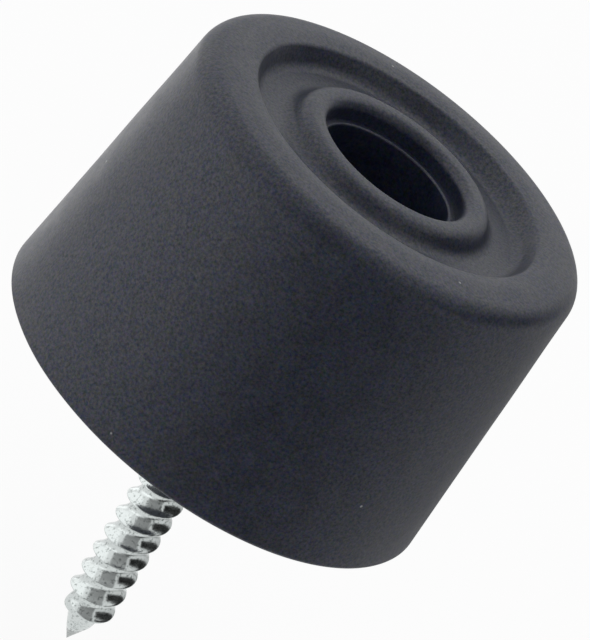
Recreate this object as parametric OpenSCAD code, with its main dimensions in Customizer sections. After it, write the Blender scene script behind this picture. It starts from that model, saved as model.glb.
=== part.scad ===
// Rubber door stop: a tapered rubber body, a steel seat washer and a countersunk wood screw.
// The origin is the middle of the body's base, and +Z runs up through the body.

/* [Rubber body] */
// Diameter of the base
base_d = 38; // [34:0.5:60]
// Diameter at which the tapered side would meet the top
top_d = 34.4; // [31:0.2:38]
// Height of the body, up to the crest of the rim round its top
body_h = 25.2; // [18:0.2:50]
// How far the rim falls from its crest to its outer edge
rim_fall = 0.4; // [0.1:0.05:0.6]
// How far the rim falls from its crest to the groove
rim_lip_fall = 0.15; // [0:0.05:0.3]
// Distance from the groove out to the rim's crest
rim_crest_w = 1.4; // [1:0.1:1.6]
// Radius that rounds the rim's crest
rim_crest_r = 5; // [1:0.5:6]
// Radius of the rounded edge round the top
top_edge_r = 1.8; // [0.4:0.1:1.8]
// Radius of the small round on the base's edge
base_edge_r = 0.3; // [0.1:0.1:1]

/* [Bore] */
// Diameter of the bore that holds the washer and the screw's head
bore_d = 11.4; // [10.4:0.1:13]
// Thickness of the rubber under the washer
web_h = 4; // [2:0.5:8]
// Width of the ledge at which the bore widens to its mouth
ledge_w = 0.6; // [0.3:0.1:1]
// Depth of the mouth, down to the ledge
mouth_depth = 1.7; // [1:0.1:4]
// Radius of the ledge's inner edge
ledge_edge_r = 0.2; // [0.05:0.05:0.25]

/* [Groove in the top] */
// Width of the ring between the bore's mouth and the groove
ring_w = 1.9; // [1.7:0.1:2.6]
// How far the ring lies below the rim's crest
ring_drop = 0.2; // [0:0.05:0.4]
// Radius of the ring's outer edge
ring_edge_r = 1.2; // [0.2:0.1:1.2]
// Radius of the lip of the bore's mouth
mouth_lip_r = 0.8; // [0.2:0.1:0.8]
// Width of the groove
groove_w = 4.6; // [3.4:0.1:5.2]
// Depth of the groove
groove_depth = 1.7; // [1.3:0.1:2.6]
// Draft of the groove's walls, in degrees
groove_draft = 32; // [10:1:40]
// Fillet between the groove's walls and its floor
groove_fillet_r = 1.2; // [0.2:0.1:1.6]
// Radius of the lip between the rim and the groove
groove_lip_r = 0.5; // [0.1:0.1:1]

/* [Seat washer] */
// Thickness of the washer
washer_t = 1.5; // [0.8:0.1:2.5]
// Radius of the washer's rounded outer edges
washer_edge_r = 0.25; // [0.05:0.05:0.35]

/* [Wood screw] */
// Length of the screw, head included
screw_len = 35; // [30:1:60]
// Diameter over the thread
thread_d = 4.5; // [4.4:0.1:5]
// Diameter of the core between the turns
core_d = 3; // [2.4:0.1:3.4]
// Diameter of the plain shank
shank_d = 4.3; // [3.8:0.1:4.5]
// Pitch of the thread
pitch = 2; // [1.6:0.1:2.4]
// Width of the thread's crest
crest_w = 0.14; // [0.08:0.02:0.3]
// Length of the threaded end, point included
thread_len = 22; // [16:1:25]
// Full angle of the point, over the thread
point_angle = 58; // [45:1:70]
// Length over which the core comes to its point
core_point_len = 5; // [4.6:0.2:8]
// Diameter of the head
head_d = 8.3; // [7.4:0.1:9.2]
// Full angle of the countersunk head
head_angle = 90; // [82:1:94]
// Height of the head's straight rim
head_rim_h = 0.35; // [0.2:0.05:0.6]
// Span of the cross recess at the head's face
recess_w = 4.6; // [3.4:0.1:5.2]
// Span of the cross recess at its bottom
recess_tip_w = 1.8; // [1.2:0.1:2.4]
// Depth of the cross recess
recess_depth = 2.2; // [1.4:0.1:2.4]
// Width of the arms of the cross recess
recess_arm_w = 1; // [0.7:0.1:1.2]

/* [How the screw stands] */
// Angle between the screw and the body's axis
screw_lean = 6.8; // [0:0.2:8]
// Direction in which the screw's point leans, from +X towards +Y
lean_direction = 50; // [0:5:355]
// Turn of the screw about its own axis
screw_turn = 350; // [0:5:355]

/* [Clearances] */
// Radial clearance between the washer and the bore
washer_clear = 0.2; // [0.1:0.05:0.5]
// Radial clearance between the thread and the washer's hole
washer_hole_clear = 0.5; // [0.4:0.05:0.8]
// Radial clearance between the leaning screw and its hole through the rubber
hole_clear = 0.3; // [0.2:0.05:0.6]
// Clearance between the head's cone and the rim of the washer's hole
seat_clear = 0.02; // [0.01:0.01:0.1]

/* [Hidden] */
$fn = 96;

base_r = base_d / 2;
top_r = top_d / 2;
bore_r = bore_d / 2;
mouth_r = bore_r + ledge_w;
ring_r = mouth_r + ring_w;
groove_r = ring_r + groove_w;
rim_top_r = groove_r + rim_crest_w;

washer_r = bore_r - washer_clear;
washer_hole_r = thread_d / 2 + washer_hole_clear;

thread_r = thread_d / 2;
core_r = core_d / 2;
shank_r = shank_d / 2;
head_r = head_d / 2;

// Height at which the screw bears on the washer, where it pivots when it leans
seat_z = web_h + washer_t;
// The hole lets the leaning thread through, down to the base
hole_r = thread_r / cos(screw_lean) + seat_z * tan(screw_lean) + hole_clear;
// Radius of the head's cone at the height of its pivot: the tilted cone just clears
// the round rim of the washer's hole
head_slope = tan(head_angle / 2);
seat_r = washer_hole_r * (1 - sin(screw_lean) * head_slope - pow(sin(screw_lean), 2) / 2) - seat_clear;
// Height of the head's face above the pivot
head_top = (head_r - seat_r) / head_slope + head_rim_h;
// Depth below the pivot at which the cone meets the shank
neck_depth = (seat_r - shank_r) / head_slope;
// Distance from the pivot to the screw's tip
tip_depth = screw_len - head_top;

// How far a cutting shape stands out of what it cuts
over = 1;
// How far a joining shape reaches into what it joins
root_in = 0.3;

// Distance from the tip at which the first turn of the thread starts
thread_start = 0.3;
// Steps round one turn of the thread, and across the groove between two crests
turn_steps = 24;
groove_steps = 6;
line_count = groove_steps + 1;
// How sharply the hollow groove between two crests curves up to them
groove_power = 2.4;

// Most of a run that the rounding at one of its ends may take
run_share = 0.49;
// How far a cut that rounds an outer corner reaches past the outline
cut_over = 0.05;
// How far an arc's circle stands over the lines that it touches, so that it crosses them
arc_bite = 0.0005;

function unit(v) = v / norm(v);
// Point i of a closed outline, whose points are [x, y, edge radius]
function at(pts, i) = let (p = pts[(i + len(pts)) % len(pts)]) [p[0], p[1]];
// Above zero where a counter-clockwise outline turns left at point i
function bend(pts, i) = cross(at(pts, i) - at(pts, i - 1), at(pts, i + 1) - at(pts, i));
// The run from point i to the point before it (side -1) or after it (side 1)
function run(pts, i, side) = at(pts, i + side) - at(pts, i);
function half_angle(pts, i) = acos(unit(run(pts, i, -1)) * unit(run(pts, i, 1))) / 2;
// Radius of the arc at point i, which takes no more than its share of the runs beside it
function arc_r(pts, i) =
    let (shorter = min(norm(run(pts, i, -1)), norm(run(pts, i, 1))))
    min(pts[i][2], run_share * shorter * tan(half_angle(pts, i)));
function arc_centre(pts, i) =
    let (inwards = unit(unit(run(pts, i, -1)) + unit(run(pts, i, 1))))
    at(pts, i) + inwards * arc_r(pts, i) / sin(half_angle(pts, i));
// Where the arc meets the run on one side
function arc_end(pts, i, side) =
    at(pts, i) + unit(run(pts, i, side)) * arc_r(pts, i) / tan(half_angle(pts, i));
function is_hollow(pts, i) = pts[i][2] > 0 && bend(pts, i) < 0;
// The outline's own points at corner i. A hollow corner is filled up to its arc's centre.
function corner_points(pts, i) =
    is_hollow(pts, i)
    ? [arc_end(pts, i, -1), arc_centre(pts, i), arc_end(pts, i, 1)]
    : [at(pts, i)];

// What is cut from corner i: the circle itself at a hollow corner, and what lies outside it
// at an outer one
module corner_cut(pts, i) {
    centre = arc_centre(pts, i);
    r = arc_r(pts, i);
    reach = 1 + cut_over / r;
    edge = [arc_end(pts, i, -1), at(pts, i), arc_end(pts, i, 1)];
    if (is_hollow(pts, i)) {
        translate(centre) circle(r = r + arc_bite);
    } else {
        difference() {
            polygon([centre, for (p = edge) centre + (p - centre) * reach]);
            translate(centre) circle(r = r + arc_bite);
        }
    }
}

// A counter-clockwise outline with true arcs at the corners that have a radius
module rounded_outline(pts) {
    difference() {
        polygon([for (i = [0 : len(pts) - 1]) each corner_points(pts, i)]);
        for (i = [0 : len(pts) - 1])
            if (pts[i][2] > 0) corner_cut(pts, i);
    }
}

// One moulding: the tapered wall, the grooved top and the stepped bore
module rubber_body() {
    floor_z = body_h - groove_depth;
    lip_z = body_h - rim_lip_fall;
    ring_z = body_h - ring_drop;
    ledge_z = ring_z - mouth_depth;
    edge_z = body_h - rim_fall;
    // Radius at which the tapered side reaches the rim's outer edge
    edge_r = base_r + (top_r - base_r) * edge_z / body_h;
    // How far a wall of the groove leans over, from its top down to the floor
    function wall_lean(top_z) = (top_z - floor_z) * tan(groove_draft);
    color("#2c2c2e") rotate_extrude() rounded_outline([
        [hole_r, 0, 0],
        [base_r, 0, base_edge_r],
        [edge_r, edge_z, top_edge_r],
        [rim_top_r, body_h, rim_crest_r],
        [groove_r, lip_z, groove_lip_r],
        [groove_r - wall_lean(lip_z), floor_z, groove_fillet_r],
        [ring_r + wall_lean(ring_z), floor_z, groove_fillet_r],
        [ring_r, ring_z, ring_edge_r],
        [mouth_r, ring_z, mouth_lip_r],
        [mouth_r, ledge_z, 0],
        [bore_r, ledge_z, ledge_edge_r],
        [bore_r, web_h, 0],
        [hole_r, web_h, 0]
    ]);
}

// The washer lies on the floor of the bore and carries the screw's head
module seat_washer() {
    color("#b9bcc0") translate([0, 0, web_h]) rotate_extrude() rounded_outline([
        [washer_hole_r, 0, 0],
        [washer_r, 0, washer_edge_r],
        [washer_r, washer_t, washer_edge_r],
        [washer_hole_r, washer_t, 0]
    ]);
}

// Radius of the thread's crest at a distance from the tip: it follows the point, and
// sinks into the shank over the last turn
function crest_at(s) = min(
    thread_r,
    s * tan(point_angle / 2),
    thread_r - (thread_r - core_r) * (s - thread_len) / pitch
);
function core_at(s) = core_r * min(1, s / core_point_len);
// Distance of line j of the thread's profile from the start of its turn, in pitches:
// lines 0 and 1 are the crest's two edges, and the others cross the hollow groove
function line_at(j) =
    let (land = crest_w / pitch) j == 0 ? 0 : land + (1 - land) * (j - 1) / groove_steps;
// Height of line j over the core, from 0 at the core to 1 at the crest
function height_at(j) = j == 0 ? 1 : pow(abs(2 * (j - 1) / groove_steps - 1), groove_power);
// A point of the thread: step i along the helix, line j of the profile. The thread
// grows out of the core over its first turn.
function thread_point(i, j) =
    let (
        s = thread_start + pitch * (i / turn_steps + line_at(j)),
        grown = min(1, i / turn_steps),
        core = core_at(s),
        r = core + max(0, crest_at(s) - core) * height_at(j) * grown,
        a = 360 * i / turn_steps
    ) [r * cos(a), r * sin(a), s];

// Core and thread in one surface that winds up from the tip at the origin. Line 0 of
// each turn closes the turn below it.
module thread() {
    steps = ceil(turn_steps * ((thread_len - thread_start) / pitch + 1));
    turns = [for (i = [0 : steps]) for (j = [0 : line_count - 1]) thread_point(i, j)];
    closing_turn = [for (i = [steps + 1 : steps + turn_steps]) thread_point(i, 0)];
    tip = [0, 0, 0];
    top_centre = [0, 0, thread_start + pitch * (steps / turn_steps + 0.5)];
    // Number of the point at step i, line j
    function id(i, j) =
        j == line_count ? id(i + turn_steps, 0)
        : i <= steps ? i * line_count + j
        : (steps + 1) * line_count + i - steps - 1;
    tip_id = len(turns) + len(closing_turn);
    top_id = tip_id + 1;
    skin = [
        for (i = [0 : steps - 1])
            for (j = [0 : line_count - 1])
                each [
                    [id(i, j), id(i, j + 1), id(i + 1, j + 1)],
                    [id(i, j), id(i + 1, j + 1), id(i + 1, j)]
                ]
    ];
    point_cone = [for (i = [0 : turn_steps - 1]) [tip_id, id(i, 0), id(i + 1, 0)]];
    point_step = [
        [id(0, line_count), id(0, 0), tip_id],
        for (j = [0 : line_count - 2]) [id(0, line_count), id(0, j + 1), id(0, j)]
    ];
    top_cone = [for (i = [steps : steps + turn_steps - 1]) [top_id, id(i + 1, 0), id(i, 0)]];
    top_step = [for (j = [0 : line_count - 1]) [top_id, id(steps, j), id(steps, j + 1)]];
    polyhedron(
        points = concat(turns, closing_turn, [tip, top_centre]),
        faces = concat(skin, point_cone, point_step, top_cone, top_step),
        convexity = 10
    );
}

// Cross recess with tapering arms, cut down from a head's face at z = 0
module cross_recess() {
    full_h = recess_depth + over;
    flare = (recess_w - recess_tip_w) / recess_depth;
    translate([0, 0, -recess_depth]) intersection() {
        cylinder(h = full_h, d1 = recess_tip_w, d2 = recess_tip_w + flare * full_h);
        for (a = [0, 90])
            rotate([0, 0, a])
                translate([-recess_w, -recess_arm_w / 2, 0])
                    cube([2 * recess_w, recess_arm_w, full_h]);
    }
}

// The screw upright, with its pivot at the origin and its point downwards
module upright_screw() {
    shank_end = thread_len - tip_depth;
    taper_foot_r = core_r - root_in;
    taper_h = shank_r - taper_foot_r;
    difference() {
        union() {
            rotate_extrude() polygon([
                [0, shank_end - taper_h],
                [taper_foot_r, shank_end - taper_h],
                [shank_r, shank_end],
                [shank_r, -neck_depth],
                [head_r, head_top - head_rim_h],
                [head_r, head_top],
                [0, head_top]
            ]);
            rotate([0, 0, screw_turn]) translate([0, 0, -tip_depth]) thread();
        }
        translate([0, 0, head_top]) cross_recess();
    }
}

module wood_screw() {
    color("#c9ccd1")
        translate([0, 0, seat_z])
            rotate([0, -screw_lean, lean_direction])
                upright_screw();
}

rubber_body();
seat_washer();
wood_screw();
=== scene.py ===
import math

import bmesh
import bpy
from mathutils import Matrix, Vector, noise


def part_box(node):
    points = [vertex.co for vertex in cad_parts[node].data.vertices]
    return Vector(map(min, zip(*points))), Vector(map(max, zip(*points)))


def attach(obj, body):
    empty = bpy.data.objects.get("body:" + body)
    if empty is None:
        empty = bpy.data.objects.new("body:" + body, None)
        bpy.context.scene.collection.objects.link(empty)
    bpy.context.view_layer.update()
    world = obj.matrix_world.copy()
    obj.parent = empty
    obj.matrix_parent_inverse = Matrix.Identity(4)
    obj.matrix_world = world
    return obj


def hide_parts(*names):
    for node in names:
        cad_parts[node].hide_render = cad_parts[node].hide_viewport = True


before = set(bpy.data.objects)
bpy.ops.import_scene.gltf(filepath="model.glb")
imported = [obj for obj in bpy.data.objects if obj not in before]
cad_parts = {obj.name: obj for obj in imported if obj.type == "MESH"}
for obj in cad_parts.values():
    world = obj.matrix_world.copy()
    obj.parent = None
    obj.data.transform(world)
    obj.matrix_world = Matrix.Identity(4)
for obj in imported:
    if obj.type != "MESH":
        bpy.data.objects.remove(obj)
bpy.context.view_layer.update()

bl_info = {
    "name": "Rubber door stop",
    "version": (1, 0, 0),
    "blender": (4, 5, 0),
    "location": "View3D > Sidebar > Door stop",
    "description": "A screw-on rubber door stop: moulded body, seat washer, wood screw and stage",
    "category": "Object",
}

MM = 0.001
BODY_LOW, BODY_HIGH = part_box("rubber_body")
WASHER_LOW, WASHER_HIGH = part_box("seat_washer")
SCREW_LOW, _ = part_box("wood_screw")
SENSOR_WIDTH = 36
IMAGE_HEIGHT = 640  # pixels, the image's longer side, which the sensor's width covers


# ---------------------------------------------------------------- properties


class DoorstopBody(bpy.types.PropertyGroup):
    """Sizes of the moulded rubber body."""

    base_d: bpy.props.FloatProperty(
        name="Base diameter", description="Diameter of the base",
        default=BODY_HIGH.x - BODY_LOW.x, unit="LENGTH")
    top_d: bpy.props.FloatProperty(
        name="Top diameter", description="Diameter at which the tapered side would meet the top",
        default=34.4 * MM, unit="LENGTH")
    height: bpy.props.FloatProperty(
        name="Height", description="Height of the body, up to the crest of its rim",
        default=25.2 * MM, unit="LENGTH")
    top_edge: bpy.props.FloatProperty(
        name="Top edge", description="Radius of the rounded edge round the top",
        default=1.8 * MM, unit="LENGTH")
    base_edge: bpy.props.FloatProperty(
        name="Base edge", description="Radius of the round on the base's edge",
        default=0.3 * MM, unit="LENGTH")
    bore_d: bpy.props.FloatProperty(
        name="Bore diameter", description="Diameter of the bore that holds washer and screw head",
        default=11.4 * MM, unit="LENGTH")
    web: bpy.props.FloatProperty(
        name="Web", description="Thickness of the rubber under the washer",
        default=WASHER_LOW.z, unit="LENGTH")
    ledge: bpy.props.FloatProperty(
        name="Ledge width", description="Width of the ledge at which the bore widens to its mouth",
        default=0.6 * MM, unit="LENGTH")
    mouth: bpy.props.FloatProperty(
        name="Mouth depth", description="Depth of the mouth, down to the ledge",
        default=1.7 * MM, unit="LENGTH")
    ledge_edge: bpy.props.FloatProperty(
        name="Ledge edge", description="Radius of the ledge's inner edge",
        default=0.2 * MM, unit="LENGTH")
    ring: bpy.props.FloatProperty(
        name="Ring width", description="Width of the ring between the bore's mouth and the groove",
        default=1.9 * MM, unit="LENGTH")
    groove: bpy.props.FloatProperty(
        name="Groove width", description="Width of the groove in the top",
        default=4.6 * MM, unit="LENGTH")
    groove_depth: bpy.props.FloatProperty(
        name="Groove depth", description="Depth of the groove in the top",
        default=1.7 * MM, unit="LENGTH")
    groove_draft: bpy.props.FloatProperty(
        name="Groove draft", description="Draft of the groove's walls",
        default=math.radians(32), unit="ROTATION")
    groove_fillet: bpy.props.FloatProperty(
        name="Groove fillet", description="Fillet between the groove's walls and its floor",
        default=1.2 * MM, unit="LENGTH")
    rim_crest: bpy.props.FloatProperty(
        name="Rim crest", description="Distance from the groove out to the crest of the rim",
        default=1.4 * MM, unit="LENGTH")
    rim_crest_round: bpy.props.FloatProperty(
        name="Rim crest round", description="Radius that rounds the crest of the rim",
        default=5 * MM, unit="LENGTH")
    rim_fall: bpy.props.FloatProperty(
        name="Rim fall", description="How far the rim falls from its crest to its outer edge",
        default=0.4 * MM, unit="LENGTH")
    rim_lip_fall: bpy.props.FloatProperty(
        name="Rim lip fall", description="How far the rim falls from its crest to the groove",
        default=0.15 * MM, unit="LENGTH")
    ring_drop: bpy.props.FloatProperty(
        name="Ring drop", description="How far the ring round the bore lies below the crest",
        default=0.2 * MM, unit="LENGTH")
    groove_lip: bpy.props.FloatProperty(
        name="Groove lip", description="Radius of the lip between rim and groove",
        default=0.5 * MM, unit="LENGTH")
    ring_lip: bpy.props.FloatProperty(
        name="Ring lip", description="Radius of the ring's outer edge",
        default=1.2 * MM, unit="LENGTH")
    mouth_lip: bpy.props.FloatProperty(
        name="Mouth lip", description="Radius of the lip of the bore's mouth",
        default=0.8 * MM, unit="LENGTH")
    hole_d: bpy.props.FloatProperty(
        name="Screw hole", description="Diameter of the hole through the web",
        default=6.44 * MM, unit="LENGTH")
    segments: bpy.props.IntProperty(
        name="Segments", description="Steps round the body", default=320, min=48)
    unevenness: bpy.props.FloatProperty(
        name="Unevenness", description="How far the moulded skin strays from its true form",
        default=0.03 * MM, unit="LENGTH")


class DoorstopScrew(bpy.types.PropertyGroup):
    """Sizes of the wood screw."""

    length: bpy.props.FloatProperty(
        name="Length", description="Length of the screw, head included",
        default=35 * MM, unit="LENGTH")
    thread_d: bpy.props.FloatProperty(
        name="Thread diameter", description="Diameter over the thread",
        default=4.5 * MM, unit="LENGTH")
    core_d: bpy.props.FloatProperty(
        name="Core diameter", description="Diameter of the core between the turns",
        default=3 * MM, unit="LENGTH")
    shank_d: bpy.props.FloatProperty(
        name="Shank diameter", description="Diameter of the plain shank",
        default=4.3 * MM, unit="LENGTH")
    pitch: bpy.props.FloatProperty(
        name="Pitch", description="Pitch of the thread", default=2 * MM, unit="LENGTH")
    crest: bpy.props.FloatProperty(
        name="Crest width", description="Width of the thread's crest",
        default=0.14 * MM, unit="LENGTH")
    long_flank: bpy.props.FloatProperty(
        name="Long flank", description="Share of the pitch under the flank that faces the head",
        default=0.8, min=0.3, max=0.9)
    long_hollow: bpy.props.FloatProperty(
        name="Long hollow", description="How hollow the flank that faces the head is",
        default=2.0, min=1)
    short_hollow: bpy.props.FloatProperty(
        name="Short hollow", description="How hollow the flank that faces the point is",
        default=1.5, min=1)
    thread_length: bpy.props.FloatProperty(
        name="Thread length", description="Length of the threaded end, point included",
        default=22 * MM, unit="LENGTH")
    thread_start: bpy.props.FloatProperty(
        name="Thread start", description="Distance from the tip at which the first turn starts",
        default=0.3 * MM, unit="LENGTH")
    point_angle: bpy.props.FloatProperty(
        name="Point angle", description="Full angle of the point, over the thread",
        default=math.radians(58), unit="ROTATION")
    core_point: bpy.props.FloatProperty(
        name="Core point", description="Length over which the core comes to its point",
        default=3.4 * MM, unit="LENGTH")
    head_d: bpy.props.FloatProperty(
        name="Head diameter", description="Diameter of the countersunk head",
        default=8.3 * MM, unit="LENGTH")
    head_angle: bpy.props.FloatProperty(
        name="Head angle", description="Full angle of the countersunk head",
        default=math.radians(90), unit="ROTATION")
    head_rim: bpy.props.FloatProperty(
        name="Head rim", description="Height of the head's straight rim",
        default=0.35 * MM, unit="LENGTH")
    head_top: bpy.props.FloatProperty(
        name="Head above pivot", description="Height of the head's face above the washer's top",
        default=2.115 * MM, unit="LENGTH")
    recess_w: bpy.props.FloatProperty(
        name="Recess span", description="Span of the cross recess at the head's face",
        default=4.6 * MM, unit="LENGTH")
    recess_tip_w: bpy.props.FloatProperty(
        name="Recess bottom span", description="Span of the cross recess at its bottom",
        default=1.8 * MM, unit="LENGTH")
    recess_depth: bpy.props.FloatProperty(
        name="Recess depth", description="Depth of the cross recess",
        default=2.2 * MM, unit="LENGTH")
    recess_arm: bpy.props.FloatProperty(
        name="Recess arm", description="Width of the arms of the cross recess",
        default=1 * MM, unit="LENGTH")
    lean: bpy.props.FloatProperty(
        name="Lean", description="Angle between the screw and the body's axis",
        default=math.radians(6.8), unit="ROTATION")
    lean_direction: bpy.props.FloatProperty(
        name="Lean direction", description="Where the point leans to, from +X towards +Y",
        default=math.radians(50), unit="ROTATION")
    turn: bpy.props.FloatProperty(
        name="Turn", description="Turn of the screw about its own axis",
        default=math.radians(350), unit="ROTATION")


class DoorstopFinish(bpy.types.PropertyGroup):
    """Colours of the finishes, as sRGB."""

    rubber: bpy.props.StringProperty(
        name="Rubber", description="Colour of the rubber, as an sRGB hex value", default="#171d2e")
    dust: bpy.props.StringProperty(
        name="Dust", description="Colour of the dust specks, as an sRGB hex value",
        default="#8d8f90")
    zinc: bpy.props.StringProperty(
        name="Zinc", description="Colour of the screw's zinc plating, as an sRGB hex value",
        default="#d5dbda")
    pits: bpy.props.StringProperty(
        name="Pits", description="Colour of the pits in the plating, as an sRGB hex value",
        default="#7d8482")
    washer: bpy.props.StringProperty(
        name="Washer", description="Colour of the steel washer, as an sRGB hex value",
        default="#b4b6b8")
    floor: bpy.props.StringProperty(
        name="Floor", description="Colour of the floor, as an sRGB hex value", default="#f2f2f3")


class DoorstopStage(bpy.types.PropertyGroup):
    """Camera, floor and lamps."""

    elevation: bpy.props.FloatProperty(
        name="Elevation", description="How far above the horizon the camera stands",
        default=math.radians(24.66), unit="ROTATION")
    roll: bpy.props.FloatProperty(
        name="Roll", description="Turn of the camera about its line of sight",
        default=math.radians(37.89), unit="ROTATION")
    target_z: bpy.props.FloatProperty(
        name="Target height", description="Height above the base of the point that the camera"
        " and the lamps face", default=12.5 * MM, unit="LENGTH")
    distance: bpy.props.FloatProperty(
        name="Distance", description="From the target to the camera",
        default=368.6 * MM, unit="LENGTH")
    focal_pixels: bpy.props.FloatProperty(
        name="Focal length in pixels", description="Focal length, in pixels of the image",
        default=4815)
    aim_x: bpy.props.FloatProperty(
        name="Aim right", description="Target from the image's middle, in pixels to the right",
        default=12)
    aim_y: bpy.props.FloatProperty(
        name="Aim up", description="Target from the image's middle, in pixels upwards",
        default=42)
    floor_gap: bpy.props.FloatProperty(
        name="Floor gap", description="From the screw's tip down to the floor",
        default=0.2 * MM, unit="LENGTH")


GROUPS = {
    "doorstop_body": DoorstopBody,
    "doorstop_screw": DoorstopScrew,
    "doorstop_finish": DoorstopFinish,
    "doorstop_stage": DoorstopStage,
}

# ----------------------------------------------------------------- materials


def linear(colour):
    """Linear RGBA of an sRGB hex value."""
    parts = [int(colour[i:i + 2], 16) / 255 for i in (1, 3, 5)]
    return [c / 12.92 if c <= 0.04045 else ((c + 0.055) / 1.055) ** 2.4 for c in parts] + [1]


def shaded(colour, factor):
    """Linear RGBA of an sRGB hex value, made lighter or darker."""
    return [c * factor for c in linear(colour)[:3]] + [1]


def per_mm(size):
    """Scale of a pattern on object coordinates whose features are that many millimetres."""
    return 1 / (size * MM)


def add(tree, kind, inputs=None, **settings):
    """Adds a node with its settings. Each input gets a value, or a link from a socket."""
    made = tree.nodes.new(kind)
    for name, value in settings.items():
        setattr(made, name, value)
    for key, value in (inputs or {}).items():
        if isinstance(value, bpy.types.NodeSocket):
            tree.links.new(value, made.inputs[key])
        else:
            made.inputs[key].default_value = value
    return made


def new_material(name):
    material = bpy.data.materials.new(name)
    material.use_nodes = True
    material.node_tree.nodes.clear()
    return material


def moulded_rubber(finish):
    """Black rubber, compression moulded: a dull skin that turns grey and soft where it is seen
    at a low angle. The filler gives its colour and its sheen a fine mottle, and the mould a
    fine grain. A few specks of dust lie on it."""
    material = new_material("moulded_rubber")
    tree = material.node_tree
    place = add(tree, "ShaderNodeTexCoord").outputs["Object"]
    mottle = add(tree, "ShaderNodeTexNoise", {
        "Vector": place, "Scale": per_mm(2.2), "Detail": 4, "Roughness": 0.6})
    tone = add(tree, "ShaderNodeMapRange", {
        "Value": mottle.outputs["Fac"], "From Min": 0.3, "From Max": 0.7,
        "To Min": 0.0, "To Max": 1.0})
    rubber = add(tree, "ShaderNodeMix", {
        "Factor": tone.outputs["Result"],
        "A": shaded(finish.rubber, 0.8), "B": shaded(finish.rubber, 1.25)},
        data_type="RGBA")
    filler = add(tree, "ShaderNodeTexNoise", {
        "Vector": place, "Scale": per_mm(0.24), "Detail": 3, "Roughness": 0.7})
    tint = add(tree, "ShaderNodeMapRange", {
        "Vector": filler.outputs["Color"], "From Min": [0.3] * 3, "From Max": [0.7] * 3,
        "To Min": [0.0] * 3, "To Max": [2.0] * 3}, data_type="FLOAT_VECTOR")
    speckled = add(tree, "ShaderNodeMix", {
        "Factor": 1.0, "A": rubber.outputs["Result"], "B": tint.outputs["Vector"]},
        data_type="RGBA", blend_type="MULTIPLY")
    cells = add(tree, "ShaderNodeTexVoronoi", {"Vector": place, "Scale": per_mm(4)})
    speck = add(tree, "ShaderNodeMapRange", {
        "Value": cells.outputs["Distance"], "From Min": 0.022, "From Max": 0.036,
        "To Min": 0.8, "To Max": 0.0})
    colour = add(tree, "ShaderNodeMix", {
        "Factor": speck.outputs["Result"], "A": speckled.outputs["Result"],
        "B": linear(finish.dust)}, data_type="RGBA")
    rough = add(tree, "ShaderNodeMapRange", {
        "Value": mottle.outputs["Fac"], "From Min": 0.3, "From Max": 0.7,
        "To Min": 0.40, "To Max": 0.48})
    sheen = add(tree, "ShaderNodeMapRange", {
        "Value": filler.outputs["Fac"], "From Min": 0.3, "From Max": 0.7,
        "To Min": 0.27, "To Max": 0.73})
    grain = add(tree, "ShaderNodeTexNoise", {
        "Vector": place, "Scale": per_mm(0.28), "Detail": 2, "Roughness": 0.7})
    bump = add(tree, "ShaderNodeBump", {
        "Height": grain.outputs["Fac"], "Strength": 0.35, "Distance": 0.03 * MM})
    shader = add(tree, "ShaderNodeBsdfPrincipled", {
        "Base Color": colour.outputs["Result"], "Roughness": rough.outputs["Result"],
        "Specular IOR Level": sheen.outputs["Result"], "Normal": bump.outputs["Normal"],
        "IOR": 1.52})
    add(tree, "ShaderNodeOutputMaterial", {"Surface": shader.outputs["BSDF"]})
    return material


def bright_zinc(finish):
    """Steel, thread rolled and bright zinc plated: a cold white shine, sharp but broken up by
    pits in the plating and by the rolling's fine marks."""
    material = new_material("bright_zinc_plated_steel")
    tree = material.node_tree
    place = add(tree, "ShaderNodeTexCoord").outputs["Object"]
    clouds = add(tree, "ShaderNodeTexNoise", {
        "Vector": place, "Scale": per_mm(0.9), "Detail": 3})
    rough = add(tree, "ShaderNodeMapRange", {
        "Value": clouds.outputs["Fac"], "From Min": 0.3, "From Max": 0.7,
        "To Min": 0.10, "To Max": 0.20})
    marks = add(tree, "ShaderNodeTexNoise", {
        "Vector": place, "Scale": per_mm(0.3), "Detail": 3, "Roughness": 0.6})
    pits = add(tree, "ShaderNodeMapRange", {
        "Value": marks.outputs["Fac"], "From Min": 0.33, "From Max": 0.46,
        "To Min": 0.75, "To Max": 0.0})
    tone = add(tree, "ShaderNodeMix", {
        "Factor": pits.outputs["Result"], "A": linear(finish.zinc), "B": linear(finish.pits)},
        data_type="RGBA")
    bump = add(tree, "ShaderNodeBump", {
        "Height": marks.outputs["Fac"], "Strength": 0.4, "Distance": 0.02 * MM})
    shader = add(tree, "ShaderNodeBsdfPrincipled", {
        "Base Color": tone.outputs["Result"], "Metallic": 1.0,
        "Roughness": rough.outputs["Result"], "Normal": bump.outputs["Normal"]})
    add(tree, "ShaderNodeOutputMaterial", {"Surface": shader.outputs["BSDF"]})
    return material


def stamped_steel(finish):
    """Mild steel, stamped and tumbled: a grey, slightly dull shine with small scuffs."""
    material = new_material("stamped_steel")
    tree = material.node_tree
    place = add(tree, "ShaderNodeTexCoord").outputs["Object"]
    scuffs = add(tree, "ShaderNodeTexNoise", {
        "Vector": place, "Scale": per_mm(0.5), "Detail": 4, "Roughness": 0.7})
    rough = add(tree, "ShaderNodeMapRange", {
        "Value": scuffs.outputs["Fac"], "From Min": 0.3, "From Max": 0.7,
        "To Min": 0.28, "To Max": 0.45})
    bump = add(tree, "ShaderNodeBump", {
        "Height": scuffs.outputs["Fac"], "Strength": 0.2, "Distance": 0.02 * MM})
    shader = add(tree, "ShaderNodeBsdfPrincipled", {
        "Base Color": linear(finish.washer), "Metallic": 1.0,
        "Roughness": rough.outputs["Result"], "Normal": bump.outputs["Normal"]})
    add(tree, "ShaderNodeOutputMaterial", {"Surface": shader.outputs["BSDF"]})
    return material


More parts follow.
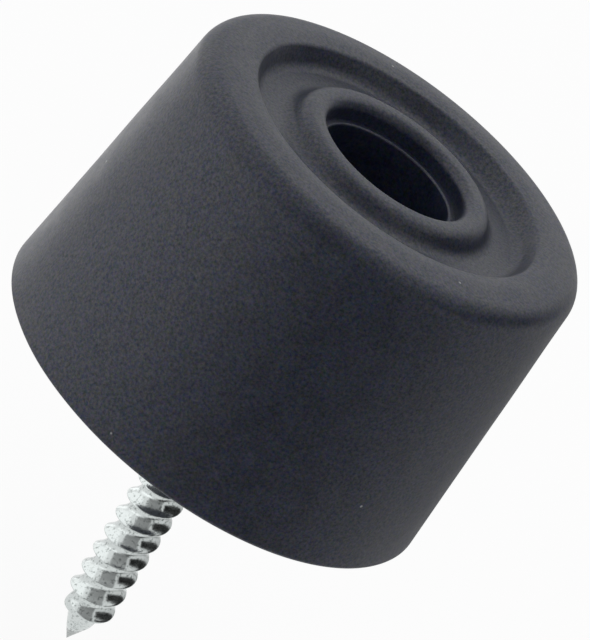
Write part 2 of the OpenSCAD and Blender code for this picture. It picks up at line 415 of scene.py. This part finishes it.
def shown_ray(tree):
    """1 for rays that show the background: the camera's own, and those that metal reflects."""
    path = add(tree, "ShaderNodeLightPath")
    seen = add(tree, "ShaderNodeMath", {
        0: path.outputs["Is Camera Ray"], 1: path.outputs["Is Glossy Ray"]}, operation="MAXIMUM")
    return add(tree, "ShaderNodeMath", {
        0: seen.outputs[0], 1: path.outputs["Is Transmission Ray"]}, operation="MAXIMUM").outputs[0]


# Width of the square of paper, in metres
FLOOR_SIZE = 5
# Share of the floor's own glow in what the camera sees of it
PAPER_GLOW = 0.92
# Light of the world for rays that don't show the background
ROOM_FILL = 0.65
# Where reflections change from the near paper to the paper further out, and from that to the
# room's low light, as distances from the door stop
NEAR_END = (60 * MM, 78 * MM)
PAPER_END = (170 * MM, 230 * MM)
# Where the room's low light changes to its middle light, and that to its high light, as
# heights on a sphere of radius 1
LOW_END = (0.13, 0.21)
MIDDLE_END = (0.52, 0.62)
# How bright the studio shows in reflections, as shares of the peak: the near paper, and at
# each angle round the door stop, in degrees from +X, the paper further out and the room at
# three heights. On the paper this is a painted reflection: a glow that only reflections see.
PEAK = 1.5
NEAR_LIGHT = 0.6
PAPER_LIGHT = (
    (-180, 0.93), (-126, 0.93), (-95, 0.45), (-72, 0.08), (-40, 0.02), (-15, 0.24), (10, 0.38),
    (48, 0.24), (90, 0.6), (127, 1.0), (142, 0.87), (160, 0.6), (180, 0.93))
LOW_LIGHT = (
    (-180, 0.62), (-128, 0.62), (-122, 0.2), (-52, 0.16), (-48, 0.5), (-8, 0.5), (30, 0.48),
    (65, 0.4), (90, 0.62), (150, 0.62), (180, 0.62))
MIDDLE_LIGHT = (
    (-180, 0.62), (-128, 0.62), (-122, 0.24), (-56, 0.19), (-52, 0.5), (-44, 0.5), (-38, 0.01),
    (42, 0.02), (60, 0.45), (90, 0.62), (150, 0.62), (180, 0.62))
HIGH_LIGHT = (
    (-180, 0.6), (-128, 0.6), (-122, 0.3), (-54, 0.25), (-50, 0.55), (30, 0.6), (90, 0.62),
    (180, 0.6))


def light_around(tree, way, stops):
    """A grey that changes with the angle round the door stop, from -180 to 180 degrees."""
    around = add(tree, "ShaderNodeTexGradient", {"Vector": way}, gradient_type="RADIAL")
    light = add(tree, "ShaderNodeValToRGB", {"Fac": around.outputs["Fac"]})
    ramp = light.color_ramp
    while len(ramp.elements) < len(stops):
        ramp.elements.new(0.5)
    for element, (angle, grey) in zip(ramp.elements, stops):
        element.position = (angle + 180) / 360
        element.color = (grey, grey, grey, 1)
    return light.outputs["Color"]


def blend(tree, value, start, end, below, above):
    """One value below the start, another above the end, and a smooth change between them."""
    share = add(tree, "ShaderNodeMapRange", {
        "Value": value, "From Min": start, "From Max": end}, interpolation_type="SMOOTHSTEP")
    return add(tree, "ShaderNodeMapRange", {
        "Value": share.outputs["Result"], "To Min": below, "To Max": above}).outputs["Result"]


def scaled(tree, value, factor):
    return add(tree, "ShaderNodeMath", {0: value, 1: factor}, operation="MULTIPLY").outputs[0]


def studio_floor(finish):
    """Matt white paper. Most of what the camera sees of it is its own glow, so that it stays
    white and keeps a faint shadow. What reflections see of it is a painted reflection: a glow,
    brighter or darker with the distance and the angle round the door stop, that stands for the
    near paper, the paper further out and the room. It can't be seen from below."""
    material = new_material("white_studio_paper")
    tree = material.node_tree
    paper = add(tree, "ShaderNodeBsdfDiffuse", {"Color": linear(finish.floor)})
    path = add(tree, "ShaderNodeLightPath")
    share = add(tree, "ShaderNodeMapRange", {
        "Value": path.outputs["Is Camera Ray"], "To Min": shown_ray(tree),
        "To Max": PAPER_GLOW})
    place = add(tree, "ShaderNodeTexCoord").outputs["Object"]
    away = add(tree, "ShaderNodeVectorMath", {0: place}, operation="LENGTH").outputs["Value"]
    # Painted reflection: the paper's glow for reflections, brighter or darker by distance and by
    # angle round the door stop
    far = blend(tree, away, *PAPER_END, light_around(tree, place, PAPER_LIGHT),
                light_around(tree, place, LOW_LIGHT))
    seen = blend(tree, away, *NEAR_END, NEAR_LIGHT, far)
    strength = add(tree, "ShaderNodeMapRange", {
        "Value": path.outputs["Is Camera Ray"], "To Min": scaled(tree, seen, PEAK),
        "To Max": 1.0})
    glow = add(tree, "ShaderNodeEmission", {
        "Color": [1, 1, 1, 1], "Strength": strength.outputs["Result"]})
    lit = add(tree, "ShaderNodeMixShader", {
        0: share.outputs["Result"], 1: paper.outputs["BSDF"], 2: glow.outputs["Emission"]})
    side = add(tree, "ShaderNodeNewGeometry")
    clear = add(tree, "ShaderNodeBsdfTransparent")
    whole = add(tree, "ShaderNodeMixShader", {
        0: side.outputs["Backfacing"], 1: lit.outputs["Shader"], 2: clear.outputs["BSDF"]})
    add(tree, "ShaderNodeOutputMaterial", {"Surface": whole.outputs["Shader"]})
    return material


# -------------------------------------------------------------------- shapes

# How much smaller than the thread's core the shank's foot ends
FOOT_INSET = 0.3 * MM
# How far the cutters of the recess stand over the head's face
CUTTER_OVER = 0.5 * MM
# Points that a cut leaves closer together than this are one point
SAME_POINT = 0.001 * MM
# Width of the gentle waves in the moulded skin
SKIN_WAVE = 6 * MM


def rounded_outline(corners, arc_step=math.radians(7), run_step=0.8 * MM):
    """Points of a closed outline [(x, y, edge radius), ...], with arcs at the corners that have
    a radius and evenly spaced points along the runs between them."""
    points = []
    for i, (x, y, r) in enumerate(corners):
        here = Vector((x, y))
        if r == 0:
            points.append(here)
            continue
        back = (Vector(corners[i - 1][:2]) - here).normalized()
        ahead = (Vector(corners[(i + 1) % len(corners)][:2]) - here).normalized()
        half = back.angle(ahead) / 2
        centre = here + (back + ahead).normalized() * r / math.sin(half)
        first = here + back * r / math.tan(half) - centre
        last = here + ahead * r / math.tan(half) - centre
        turn = first.angle_signed(last)
        steps = max(2, math.ceil(abs(turn) / arc_step))
        for k in range(steps + 1):
            points.append(centre + Matrix.Rotation(-turn * k / steps, 2) @ first)
    filled = []
    for here, after in zip(points, points[1:] + points[:1]):
        steps = max(1, math.ceil((after - here).length / run_step))
        filled += [here.lerp(after, k / steps) for k in range(steps)]
    return filled


def revolved(outline, segments):
    """Vertices and faces of a closed outline of (radius, z) points turned about Z."""
    rows = len(outline)
    points = []
    for k in range(segments):
        a = 2 * math.pi * k / segments
        points += [(p.x * math.cos(a), p.x * math.sin(a), p.y) for p in outline]
    faces = [
        (k * rows + j, k * rows + (j + 1) % rows,
         (k + 1) % segments * rows + (j + 1) % rows, (k + 1) % segments * rows + j)
        for k in range(segments) for j in range(rows)
    ]
    return points, faces


def lathe(outline, segments):
    """Vertices and faces of an open outline of (radius, z) points, whose two ends lie on the
    axis, turned about Z."""
    inner = outline[1:-1]
    rows = len(inner)
    points = [(0, 0, outline[0][1]), (0, 0, outline[-1][1])]
    for k in range(segments):
        a = 2 * math.pi * k / segments
        points += [(r * math.cos(a), r * math.sin(a), z) for r, z in inner]
    faces = []
    for k in range(segments):
        here, after = 2 + k * rows, 2 + (k + 1) % segments * rows
        faces.append((0, after, here))
        faces.append((1, here + rows - 1, after + rows - 1))
        faces += [(here + j, after + j, after + j + 1, here + j + 1) for j in range(rows - 1)]
    return points, faces


def shade(mesh, sharp=math.radians(40)):
    """Turns the faces outwards and shades them smooth. Edges over the sharp angle stay crisp."""
    made = bmesh.new()
    made.from_mesh(mesh)
    bmesh.ops.recalc_face_normals(made, faces=made.faces)
    for face in made.faces:
        face.smooth = True
    for edge in made.edges:
        edge.smooth = len(edge.link_faces) == 2 and edge.calc_face_angle(0) < sharp
    made.to_mesh(mesh)
    made.free()


def new_piece(name, points, faces, material, sharp=math.radians(40)):
    """A shaded mesh object of one material."""
    mesh = bpy.data.meshes.new(name)
    mesh.from_pydata(points, [], faces)
    shade(mesh, sharp)
    piece = bpy.data.objects.new(name, mesh)
    bpy.context.scene.collection.objects.link(piece)
    piece.data.materials.append(material)
    return piece


def body_outline(body):
    """The rubber's section, from the screw hole out along the base and back over the top."""
    base_r, top_r, bore_r = body.base_d / 2, body.top_d / 2, body.bore_d / 2
    mouth_r = bore_r + body.ledge
    ring_r = mouth_r + body.ring
    groove_r = ring_r + body.groove
    floor_z = body.height - body.groove_depth
    lip_z = body.height - body.rim_lip_fall
    ring_z = body.height - body.ring_drop
    ledge_z = ring_z - body.mouth
    edge_z = body.height - body.rim_fall
    edge_r = base_r + (top_r - base_r) * edge_z / body.height
    slant = math.tan(body.groove_draft)
    return rounded_outline([
        (body.hole_d / 2, 0, 0),
        (base_r, 0, body.base_edge),
        (edge_r, edge_z, body.top_edge),
        (groove_r + body.rim_crest, body.height, body.rim_crest_round),
        (groove_r, lip_z, body.groove_lip),
        (groove_r - (lip_z - floor_z) * slant, floor_z, body.groove_fillet),
        (ring_r + (ring_z - floor_z) * slant, floor_z, body.groove_fillet),
        (ring_r, ring_z, body.ring_lip),
        (mouth_r, ring_z, body.mouth_lip),
        (mouth_r, ledge_z, 0),
        (bore_r, ledge_z, body.ledge_edge),
        (bore_r, body.web, 0),
        (body.hole_d / 2, body.web, 0),
    ])


def crest_at(screw, s):
    """Radius of the thread's crest at a distance from the tip."""
    r, core = screw.thread_d / 2, screw.core_d / 2
    run_out = (s - screw.thread_length) / screw.pitch
    return min(r, s * math.tan(screw.point_angle / 2), r - (r - core) * run_out)


def core_at(screw, s):
    return screw.core_d / 2 * min(1, s / screw.core_point)


def thread_lines(screw, groove_steps=24, crest_steps=4, crest_round=0.05):
    """The thread's profile over one pitch, as (distance in pitches, height from 0 at the core to
    1 at the crest): a small rounded crest, a long hollow flank that faces the head, and a short
    steep one that faces the point."""
    land = screw.crest / screw.pitch
    lines = []
    for k in range(crest_steps):
        across = 2 * k / crest_steps - 1
        lines.append((land * k / crest_steps, 1 - crest_round * across ** 2))
    for k in range(groove_steps):
        along = k / groove_steps
        if along < screw.long_flank:
            height = (1 - along / screw.long_flank) ** screw.long_hollow
        else:
            height = ((along - screw.long_flank) / (1 - screw.long_flank)) ** screw.short_hollow
        lines.append((land + (1 - land) * along, (1 - crest_round) * height))
    return lines


def thread_mesh(screw, turn_steps=72):
    """Core and thread in one surface that winds up from the tip at the origin."""
    lines = thread_lines(screw)
    count = len(lines)
    steps = math.ceil(
        turn_steps * ((screw.thread_length - screw.thread_start) / screw.pitch + 1))
    points = []

    def point(i, along, height):
        s = screw.thread_start + screw.pitch * (i / turn_steps + along)
        grown = min(1, i / turn_steps)
        core = core_at(screw, s)
        r = core + max(0, crest_at(screw, s) - core) * height * grown
        a = 2 * math.pi * i / turn_steps
        return r * math.cos(a), r * math.sin(a), s

    for i in range(steps + 1):
        points += [point(i, along, height) for along, height in lines]
    points += [point(i, *lines[0]) for i in range(steps + 1, steps + turn_steps + 1)]

    def number(i, j):
        if j == count:
            return number(i + turn_steps, 0)
        return i * count + j if i <= steps else (steps + 1) * count + i - steps - 1

    tip = len(points)
    top = tip + 1
    points += [(0, 0, 0), (0, 0, screw.thread_start + screw.pitch * (steps / turn_steps + 0.5))]
    faces = [
        (number(i, j), number(i, j + 1), number(i + 1, j + 1), number(i + 1, j))
        for i in range(steps) for j in range(count)
    ]
    faces += [(tip, number(i, 0), number(i + 1, 0)) for i in range(turn_steps)]
    faces.append((number(0, count), number(0, 0), tip))
    faces += [(number(0, count), number(0, j + 1), number(0, j)) for j in range(count - 1)]
    faces += [(top, number(i + 1, 0), number(i, 0)) for i in range(steps, steps + turn_steps)]
    faces += [(top, number(steps, j), number(steps, j + 1)) for j in range(count)]
    return points, faces


def head_mesh(screw, tip_depth, seat_r, segments=96, edge=0.08 * MM, edge_steps=4):
    """The plain shank with the countersunk head, its face's edge a little rounded. The shank's
    foot is a cone that ends inside the thread's core."""
    shank_r, head_r = screw.shank_d / 2, screw.head_d / 2
    foot_r = screw.core_d / 2 - FOOT_INSET
    shank_end = screw.thread_length - tip_depth
    neck = (seat_r - shank_r) / math.tan(screw.head_angle / 2)
    top = screw.head_top
    edges = [math.pi / 2 * k / edge_steps for k in range(edge_steps + 1)]
    outline = [
        (0, shank_end - (shank_r - foot_r)),
        (foot_r, shank_end - (shank_r - foot_r)),
        (shank_r, shank_end),
        (shank_r, -neck),
        (head_r, top - screw.head_rim),
    ]
    outline += [(head_r - edge + edge * math.cos(a), top - edge + edge * math.sin(a))
                for a in edges]
    outline += [(head_r * 0.8, top), (0, top)]
    return lathe(outline, segments)


def recess_arm(screw, turn):
    """A block that cuts one arm of the cross recess, narrower towards the recess's bottom."""
    flare = (screw.recess_w - screw.recess_tip_w) / screw.recess_depth
    top_half = (screw.recess_w + flare * CUTTER_OVER) / 2
    spin = Matrix.Rotation(turn, 3, "Z")
    points = []
    for z, half in ((screw.head_top - screw.recess_depth, screw.recess_tip_w / 2),
                    (screw.head_top + CUTTER_OVER, top_half)):
        for x, y in ((-half, -1), (half, -1), (half, 1), (-half, 1)):
            points.append(spin @ Vector((x, y * screw.recess_arm / 2, z)))
    faces = [(3, 2, 1, 0), (4, 5, 6, 7), (0, 1, 5, 4), (1, 2, 6, 5), (2, 3, 7, 6), (3, 0, 4, 7)]
    return points, faces


def cut_away(piece, cutters):
    """Cuts the cutters out of the piece, one after the other, and deletes them."""
    for cutter in cutters:
        cut = piece.modifiers.new("cut", "BOOLEAN")
        cut.operation = "DIFFERENCE"
        cut.solver = "EXACT"
        cut.object = cutter
    bpy.context.view_layer.update()
    shaped = piece.evaluated_get(bpy.context.evaluated_depsgraph_get())
    mesh = bpy.data.meshes.new_from_object(shaped)
    if not mesh.polygons:
        raise RuntimeError(f"the cut left nothing of {piece.name}")
    made = bmesh.new()
    made.from_mesh(mesh)
    bmesh.ops.remove_doubles(made, verts=made.verts, dist=SAME_POINT)
    made.to_mesh(mesh)
    made.free()
    shade(mesh)
    piece.modifiers.clear()
    piece.data = mesh
    for cutter in cutters:
        bpy.data.objects.remove(cutter)


# ----------------------------------------------------------------- operators


class DOORSTOP_OT_body(bpy.types.Operator):
    """Makes the moulded rubber body"""

    bl_idname = "doorstop.body"
    bl_label = "Rubber body"

    def execute(self, context):
        body, finish = context.scene.doorstop_body, context.scene.doorstop_finish
        points, faces = revolved(body_outline(body), body.segments)
        uneven = []
        for p in points:
            at = Vector(p)
            shift = noise.noise(at / SKIN_WAVE) * body.unevenness
            out = Vector((at.x, at.y, 0)).normalized()
            uneven.append(at + out * shift)
        piece = new_piece("moulded_body", uneven, faces, moulded_rubber(finish))
        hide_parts("rubber_body")
        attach(piece, "root")
        return {"FINISHED"}


class DOORSTOP_OT_screw(bpy.types.Operator):
    """Makes the wood screw, with its thread, countersunk head and cross recess"""

    bl_idname = "doorstop.screw"
    bl_label = "Wood screw"

    def execute(self, context):
        screw, finish = context.scene.doorstop_screw, context.scene.doorstop_finish
        zinc = bright_zinc(finish)
        tip_depth = screw.length - screw.head_top
        seat_r = screw.head_d / 2 - (screw.head_top - screw.head_rim) * math.tan(
            screw.head_angle / 2)
        spin = Matrix.Rotation(screw.turn, 4, "Z")
        points, faces = thread_mesh(screw)
        down = Matrix.Translation((0, 0, -tip_depth)) @ spin
        thread = new_piece("screw_thread", [down @ Vector(p) for p in points], faces, zinc)
        head = new_piece("screw_head", *head_mesh(screw, tip_depth, seat_r), zinc)
        cut_away(head, [new_piece("recess_cutter", *recess_arm(screw, turn), zinc)
                        for turn in (0, math.pi / 2)])
        lean = (Matrix.Translation((0, 0, WASHER_HIGH.z))
                @ Matrix.Rotation(screw.lean_direction, 4, "Z")
                @ Matrix.Rotation(-screw.lean, 4, "Y"))
        for piece in (thread, head):
            piece.matrix_world = lean
            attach(piece, "root")
            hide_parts("wood_screw")
        return {"FINISHED"}


class DOORSTOP_OT_washer(bpy.types.Operator):
    """Gives the seat washer its finish"""

    bl_idname = "doorstop.washer"
    bl_label = "Seat washer"

    def execute(self, context):
        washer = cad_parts["seat_washer"]
        washer.data.materials.clear()
        washer.data.materials.append(stamped_steel(context.scene.doorstop_finish))
        return {"FINISHED"}


def softbox(name, target, azimuth, elevation, distance, size, watts):
    """A square lamp that faces the target. Its direction is in degrees, and its distance and
    its size are in metres."""
    a, e = math.radians(azimuth), math.radians(elevation)
    out = Vector((math.cos(e) * math.cos(a), math.cos(e) * math.sin(a), math.sin(e)))
    lamp = bpy.data.lights.new(name, "AREA")
    lamp.shape = "SQUARE"
    lamp.size = size
    lamp.energy = watts
    made = bpy.data.objects.new(name, lamp)
    made.location = target + out * distance
    made.rotation_euler = out.to_track_quat("Z", "Y").to_euler()
    bpy.context.scene.collection.objects.link(made)


class DOORSTOP_OT_stage(bpy.types.Operator):
    """Sets the camera, the white floor and the soft lamps"""

    bl_idname = "doorstop.stage"
    bl_label = "Stage"

    def execute(self, context):
        stage, finish = context.scene.doorstop_stage, context.scene.doorstop_finish
        middle = Vector((0, 0, stage.target_z))

        back = Vector((0, -math.cos(stage.elevation), math.sin(stage.elevation)))
        right = Vector((1, 0, 0))
        up = back.cross(right)
        across = math.cos(stage.roll) * right + math.sin(stage.roll) * up
        upward = back.cross(across)
        sight = (back + across * stage.aim_x / stage.focal_pixels
                 + upward * stage.aim_y / stage.focal_pixels).normalized()
        across = (across - sight * across.dot(sight)).normalized()
        upward = sight.cross(across)
        camera = bpy.data.cameras.new("camera")
        camera.sensor_width = SENSOR_WIDTH
        camera.lens = stage.focal_pixels * SENSOR_WIDTH / IMAGE_HEIGHT
        camera.clip_start = 0.01
        eye = bpy.data.objects.new("camera", camera)
        eye.matrix_world = Matrix.LocRotScale(
            middle + back * stage.distance, Matrix((across, upward, sight)).transposed(), None)
        context.scene.collection.objects.link(eye)
        context.scene.camera = eye

        floor_z = SCREW_LOW.z - stage.floor_gap
        half = FLOOR_SIZE / 2
        corners = [(-half, -half), (half, -half), (half, half), (-half, half)]
        floor = new_piece("floor", [(x, y, floor_z) for x, y in corners], [(0, 1, 2, 3)],
                          studio_floor(finish))

        softbox("key_softbox", middle, azimuth=170, elevation=22, distance=0.9, size=1.4,
                watts=1.9)
        softbox("fill_softbox", middle, azimuth=80, elevation=60, distance=1.0, size=0.7,
                watts=1.0)

        world = bpy.data.worlds.new("studio")
        context.scene.world = world
        world.use_nodes = True
        tree = world.node_tree
        tree.nodes.clear()
        way = add(tree, "ShaderNodeTexCoord").outputs["Generated"]
        height = add(tree, "ShaderNodeSeparateXYZ", {"Vector": way}).outputs["Z"]
        lower = blend(tree, height, *LOW_END, light_around(tree, way, LOW_LIGHT),
                      light_around(tree, way, MIDDLE_LIGHT))
        room = blend(tree, height, *MIDDLE_END, lower, light_around(tree, way, HIGH_LIGHT))
        path = add(tree, "ShaderNodeLightPath")
        shown = add(tree, "ShaderNodeMapRange", {
            "Value": shown_ray(tree), "To Min": ROOM_FILL,
            "To Max": scaled(tree, room, PEAK)})
        strength = add(tree, "ShaderNodeMapRange", {
            "Value": path.outputs["Is Camera Ray"], "To Min": shown.outputs["Result"],
            "To Max": 1.0})
        sky = add(tree, "ShaderNodeBackground", {
            "Color": [1, 1, 1, 1], "Strength": strength.outputs["Result"]})
        add(tree, "ShaderNodeOutputWorld", {"Surface": sky.outputs["Background"]})

        context.scene.view_settings.view_transform = "Standard"
        return {"FINISHED"}


OPERATORS = (DOORSTOP_OT_body, DOORSTOP_OT_washer, DOORSTOP_OT_screw, DOORSTOP_OT_stage)


class DOORSTOP_PT_panel(bpy.types.Panel):
    """Lists the door stop's pieces and sizes"""

    bl_idname = "DOORSTOP_PT_panel"
    bl_label = "Door stop"
    bl_space_type = "VIEW_3D"
    bl_region_type = "UI"
    bl_category = "Door stop"

    def draw(self, context):
        for operator in OPERATORS:
            self.layout.operator(operator.bl_idname)
        for name, group in GROUPS.items():
            box = self.layout.box()
            for field in group.__annotations__:
                box.prop(getattr(context.scene, name), field)


CLASSES = (*GROUPS.values(), *OPERATORS, DOORSTOP_PT_panel)


def register():
    for cls in CLASSES:
        bpy.utils.register_class(cls)
    for name, group in GROUPS.items():
        setattr(bpy.types.Scene, name, bpy.props.PointerProperty(type=group))


def unregister():
    for name in GROUPS:
        delattr(bpy.types.Scene, name)
    for cls in reversed(CLASSES):
        bpy.utils.unregister_class(cls)


def main():
    register()
    bpy.ops.doorstop.body()
    bpy.ops.doorstop.washer()
    bpy.ops.doorstop.screw()
    bpy.ops.doorstop.stage()


if __name__ == "__main__":
    main()
